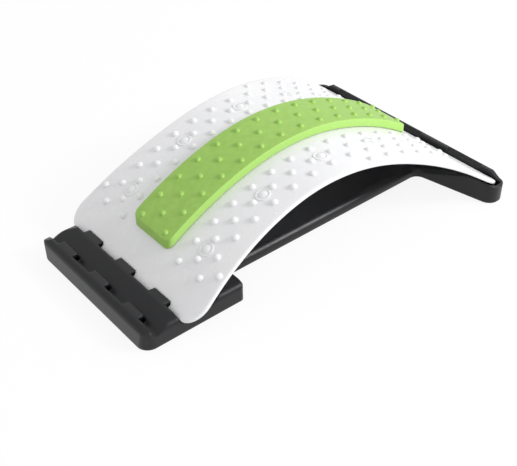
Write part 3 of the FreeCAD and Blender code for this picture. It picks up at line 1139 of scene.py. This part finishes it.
    def pocket_section(self) -> Section:
        """Radii and heights of the stepped pocket under a button."""
        return [(self.cap_r, 0.0), (self.cap_r - self.wall_step, self.cap_depth),
                (self.magnet_r, self.cap_depth), (self.magnet_r - self.wall_step, self.magnet_depth),
                (self.magnet_r / 2, self.magnet_depth)]

    def build(self) -> None:
        """Builds and dresses the plate."""
        dome = dome_section(self.nub_r, self.nub_sink, self.nub_fillet, self.dome_steps)
        button = self.button_section()
        pocket = self.pocket_section()
        spokes = self.button_spokes
        top = [Relief(a, b, dome, self.nub_r - self.nub_sink, self.nub_spokes) for a, b in self.nub_places()]
        top += [Relief(a, b, button, self.dome_height, spokes) for a, b in self.nubs.magnets()]
        under = [Relief(a, b, pocket, self.magnet_depth, spokes) for a, b in self.nubs.magnets()]
        sheet = CurvedSheet(self.curve, self.plan(), 0.0, -self.curve.thickness, self.rim_r, self.rim_r,
                            top_reliefs=top, bottom_reliefs=under)
        plate = sheet.build("arched_plate")
        dress(plate, self.finish.material())
        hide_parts("arch_plate")
        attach(plate, ARCH_BODY)
        LOG.info("plate: %d nubs, %d buttons, %d faces", len(top) - len(under), len(under),
                 len(plate.data.polygons))


@dataclass
class SpineStrip:
    """Green foam strip along the spine with three columns of small nubs."""

    curve: ArchCurve
    nubs: NubField
    high: Vector
    tape: float = 0.5 * MM
    thickness: float = 8.0 * MM
    corner_r: float = 7.0 * MM
    top_rim: float = 0.8 * MM
    bottom_rim: float = 0.4 * MM
    nub_r: float = 2.9 * MM
    nub_sink: float = 0.4 * MM
    nub_fillet: float = 0.5 * MM
    fill: float = 0.95
    outline_spacing: float = 2.5 * MM
    dome_steps: int = 6
    nub_spokes: int = 24
    finish: CellFoam = CellFoam()

    def plan(self) -> np.ndarray:
        """Outline of the strip, as places along the arch and across it."""
        grid = np.linspace(0.0, self.curve.half_length, CURVE_SAMPLES)
        x, _ = self.curve.side_view(grid, np.zeros_like(grid))
        reach = float(np.interp(self.high.x, x, grid))
        side = self.high.y
        corner = self.corner_r
        corners = [(0.0, -side, 0.0), (reach, -side, corner), (reach, side, corner),
                   (-reach, side, corner), (-reach, -side, corner), (0.0, -side, 0.0)]
        return np.array(rounded_run(corners, self.outline_spacing)[:-1])

    def build(self) -> None:
        """Builds and dresses the strip."""
        dome = dome_section(self.nub_r, self.nub_sink, self.nub_fillet, self.dome_steps)
        height = self.nub_r - self.nub_sink
        top = [Relief(a, b, dome, height, self.nub_spokes) for a, b in self.nubs.strip_nubs()]
        sheet = CurvedSheet(self.curve, self.plan(), self.tape + self.thickness, self.tape, self.top_rim,
                            self.bottom_rim, upright_rim=True, top_reliefs=top)
        strip = sheet.build("foam_strip")
        dress(strip, self.finish.material())
        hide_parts("spine_strip")
        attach(strip, ARCH_BODY)
        LOG.info("strip: %d nubs, %d faces", len(top), len(strip.data.polygons))


@dataclass
class BaseMoulding:
    """Black base in one piece, with its edges rounded."""

    finish: SparkedBlack = SparkedBlack()

    def build(self) -> None:
        """Builds and dresses the base."""
        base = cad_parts["base_frame"]
        dress(base, self.finish.material())
        LOG.info("base: %d faces", len(base.data.polygons))


@dataclass
class SmallParts:
    """Foot pads, magnets, magnet covers and the adhesive sheet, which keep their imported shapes."""

    finishes: tuple[tuple[str, Any], ...] = (
        ("foot_pad", PadRubber()), ("magnet_cap", CapWhite()), ("magnet_", NickelPlate()),
        ("spine_tape", AdhesiveSheet()))

    def build(self) -> None:
        """Dresses each node by the start of its name."""
        made = {}
        for name, node in sorted(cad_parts.items()):
            for start, finish in self.finishes:
                if name.startswith(start):
                    if finish.name not in made:
                        made[finish.name] = finish.material()
                    dress(node, made[finish.name])
                    LOG.info("%s: %s", name, finish.name)
                    break


# Studio


@dataclass(frozen=True)
class Lamp:
    """One soft rectangular lamp that looks at the object."""

    name: str
    direction: Triple
    distance: float
    size: float
    watts: float

    def build(self, target: Vector) -> None:
        """Hangs the lamp.

        Args:
            target: The place that it looks at.
        """
        data = bpy.data.lights.new(self.name, "AREA")
        data.shape = "SQUARE"
        data.size = self.size
        data.energy = self.watts
        lamp = bpy.data.objects.new(self.name, data)
        toward = Vector(self.direction).normalized()
        lamp.location = target + toward * self.distance
        lamp.rotation_euler = toward.to_track_quat("Z", "Y").to_euler()
        bpy.context.scene.collection.objects.link(lamp)


@dataclass(frozen=True)
class Studio:
    """Pale floor, soft lamps, pale surroundings and the photograph's camera."""

    floor_half: float = 3.0
    floor_drop: float = 0.2 * MM
    floor_colour: Triple = (0.9, 0.9, 0.9)
    floor_glow: float = 0.88
    block_run: float = 90.0 * MM
    block_half: float = 76.0 * MM
    shade_margin: float = 6.0 * MM
    world_level: float = 0.8
    camera_place: Triple = (-0.4453, -0.5355, 0.5182)
    heading: float = math.radians(50.839)
    dip: float = math.radians(37.879)
    roll: float = math.radians(-0.791)
    lens: float = 63.69
    sensor: float = 36.0
    aim_height: float = 40.0 * MM
    lamps: tuple[Lamp, ...] = (
        Lamp("key", (0.56, -0.64, 0.53), 1.7, 0.5, 19.0),
        Lamp("rim", (0.7, 0.5, 0.5), 1.7, 1.2, 1.5))

    def covered(self, graph: Graph) -> Signal:
        """One on the floor under the stepped block, where no light falls, and zero elsewhere.

        Args:
            graph: The floor's material.

        Returns:
            The share.
        """
        low, _ = corners_of("base_frame")
        along = graph.dot(graph.place(), (1.0, 0.0, 0.0)) - low.x
        across = graph.dot(graph.place(), (0.0, 1.0, 0.0))
        margin = self.shade_margin
        near = along.ramp(margin, 2 * margin)
        far = along.ramp(self.block_run - margin, self.block_run)
        side = (across * across).ramp((self.block_half - margin) ** 2, self.block_half ** 2)
        return near * (1.0 - far) * (1.0 - side)

    def build_floor(self) -> None:
        """Lays the floor: white from above, but for the object's shadow, and clear from below."""
        half = self.floor_half
        z = -self.floor_drop
        corners = [(-half, -half, z), (half, -half, z), (half, half, z), (-half, half, z)]
        floor = mesh_object("floor", corners, [(0, 1, 2, 3)])
        graph = Graph("floor")
        matt = graph.node("ShaderNodeBsdfDiffuse", {}, {"Color": self.floor_colour})
        glow = graph.node("ShaderNodeEmission", {}, {"Color": WHITE, "Strength": 1.0})
        seen = graph.node("ShaderNodeLightPath", {}, {}, "Is Camera Ray")
        mirrored = graph.node("ShaderNodeLightPath", {}, {}, "Is Glossy Ray")
        share = (seen + mirrored).clamped() * self.floor_glow * (1.0 - self.covered(graph))
        top = graph.node("ShaderNodeMixShader", {}, {0: share, 1: matt, 2: glow})
        below = graph.node("ShaderNodeNewGeometry", {}, {}, "Backfacing")
        clear = graph.node("ShaderNodeBsdfTransparent", {}, {})
        graph.surface(graph.node("ShaderNodeMixShader", {}, {0: below * seen, 1: top, 2: clear}))
        dress(floor, graph.owner)

    def build_world(self) -> None:
        """Sets even pale surroundings that the camera sees as white."""
        graph = Graph("studio", Shaded.WORLD)
        seen = graph.node("ShaderNodeLightPath", {}, {}, "Is Camera Ray")
        levels = {"Value": seen, "To Min": self.world_level, "To Max": 1.0}
        level = graph.node("ShaderNodeMapRange", {}, levels)
        graph.surface(graph.node("ShaderNodeBackground", {}, {"Color": WHITE, "Strength": level}))
        bpy.context.scene.world = graph.owner

    def build_camera(self) -> None:
        """Stands the camera where the photograph was taken from."""
        forward = Vector((math.cos(self.heading) * math.cos(self.dip),
                          math.sin(self.heading) * math.cos(self.dip), -math.sin(self.dip)))
        right = forward.cross(Vector((0.0, 0.0, 1.0))).normalized()
        up = right.cross(forward)
        turned_right = right * math.cos(self.roll) + up * math.sin(self.roll)
        turned_up = up * math.cos(self.roll) - right * math.sin(self.roll)
        data = bpy.data.cameras.new("camera")
        data.sensor_fit = "HORIZONTAL"
        data.sensor_width = self.sensor
        data.lens = self.lens
        camera = bpy.data.objects.new("camera", data)
        turn = Matrix((turned_right, turned_up, -forward)).transposed().to_4x4()
        camera.matrix_world = Matrix.Translation(Vector(self.camera_place)) @ turn
        bpy.context.scene.collection.objects.link(camera)
        bpy.context.scene.camera = camera

    def build(self) -> None:
        """Builds floor, surroundings, lamps and camera."""
        self.build_floor()
        self.build_world()
        target = Vector((0.0, 0.0, self.aim_height))
        for lamp in self.lamps:
            lamp.build(target)
        self.build_camera()
        bpy.context.scene.view_settings.view_transform = "Standard"
        LOG.info("studio: %d lamps", len(self.lamps))


def corners_of(node: str) -> tuple[Vector, Vector]:
    """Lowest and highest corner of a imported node.

    Args:
        node: The node's name.

    Returns:
        The two corners.
    """
    low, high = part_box(node)
    return Vector(low), Vector(high)


def main() -> None:
    """Builds every sub-assembly in order."""
    logging.basicConfig(level=logging.INFO, format="%(name)s %(message)s")
    curve = ArchCurve(*corners_of("arch_plate"))
    nubs = NubField(curve)
    BaseMoulding().build()
    ArchedPlate(curve, nubs, corners_of("base_frame")[1]).build()
    SpineStrip(curve, nubs, corners_of("spine_strip")[1]).build()
    SmallParts().build()
    Studio().build()


if __name__ == "__main__":
    main()
